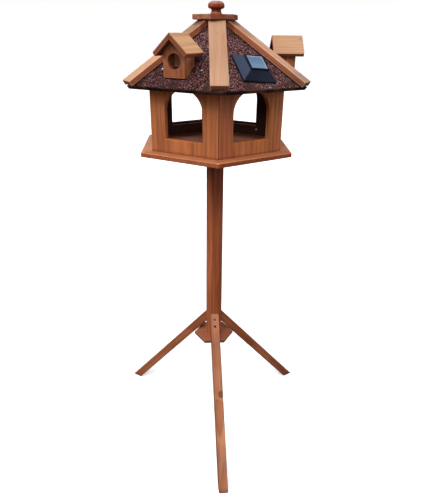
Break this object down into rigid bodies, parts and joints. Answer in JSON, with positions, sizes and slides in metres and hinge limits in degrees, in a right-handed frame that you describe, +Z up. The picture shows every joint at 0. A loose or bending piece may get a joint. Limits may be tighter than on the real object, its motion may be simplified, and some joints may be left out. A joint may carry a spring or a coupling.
{
  "type": "standing birdhouse",
  "caption": "Standing hexagonal birdhouse with arched windows, a felted roof carrying small gabled houses and a solar lamp, on a post with splayed legs.",
  "frame": {"origin": "on the ground, under the middle of the post, which is the axis of the hexagonal house", "axes": "+Z up along the post; -Y towards the front corner of the house and the front leg; +X to the right as seen from the front"},
  "size_m": [0.6185, 0.6074, 1.3002],
  "materials": {
    "wall_wood": "stained softwood, satin",
    "floor_wood": "light stained softwood, satin",
    "stand_wood": "dark stained softwood, satin",
    "leg_wood": "stained softwood, satin",
    "batten_wood": "light stained softwood, satin",
    "cap_wood": "red-brown stained wood, satin",
    "inner_wood": "unfinished plywood and softwood",
    "mini_wood": "stained softwood, satin",
    "felt": "bitumen roofing felt with red-brown mineral granules, matte",
    "black_plastic": "black moulded plastic, satin",
    "solar_cell": "blue-grey silicon cell under clear resin, glossy",
    "board": "green circuit board",
    "battery_case": "plated steel can",
    "lens_plastic": "milky diffusing plastic"
  },
  "bodies": {
    "birdhouse": {"cap_plate": "cap_wood", "finial": "cap_wood", "floor_board": "floor_wood", "hip_batten_1": "batten_wood", "hip_batten_2": "batten_wood", "hip_batten_3": "batten_wood", "hip_batten_4": "batten_wood", "hip_batten_5": "batten_wood", "hip_batten_6": "batten_wood", "hub_plate": "stand_wood", "king_block": "inner_wood", "lamp_lens": "lens_plastic", "leg_front": "leg_wood", "leg_left": "leg_wood", "leg_right": "leg_wood", "mini_back_back": "mini_wood", "mini_back_cheek_left": "mini_wood", "mini_back_cheek_right": "mini_wood", "mini_back_front": "mini_wood", "mini_back_roof_left": "batten_wood", "mini_back_roof_right": "batten_wood", "mini_left_back": "mini_wood", "mini_left_cheek_left": "mini_wood", "mini_left_cheek_right": "mini_wood", "mini_left_front": "mini_wood", "mini_left_roof_left": "batten_wood", "mini_left_roof_right": "batten_wood", "mini_right_back": "mini_wood", "mini_right_cheek_left": "mini_wood", "mini_right_cheek_right": "mini_wood", "mini_right_front": "mini_wood", "mini_right_roof_left": "batten_wood", "mini_right_roof_right": "batten_wood", "post": "stand_wood", "roof_felt_1": "felt", "roof_felt_2": "felt", "roof_felt_3": "felt", "roof_felt_4": "felt", "roof_felt_5": "felt", "roof_felt_6": "felt", "roof_panel_1": "inner_wood", "roof_panel_2": "inner_wood", "roof_panel_3": "inner_wood", "roof_panel_4": "inner_wood", "roof_panel_5": "inner_wood", "roof_panel_6": "inner_wood", "solar_base": "black_plastic", "solar_battery": "battery_case", "solar_board": "board", "solar_cell": "solar_cell", "solar_housing": "black_plastic", "wall_1": "wall_wood", "wall_2": "wall_wood", "wall_3": "wall_wood", "wall_4": "wall_wood", "wall_5": "wall_wood", "wall_6": "wall_wood"},
    "switch": {"lamp_switch": "black_plastic"}
  },
  "joints": [
    {"name": "lamp_switch_slide", "type": "slide", "parent": "birdhouse", "child": "switch", "axis": [0.9121, 0.4021, -0.0795], "range_m": [0, 0.003]}
  ]
}
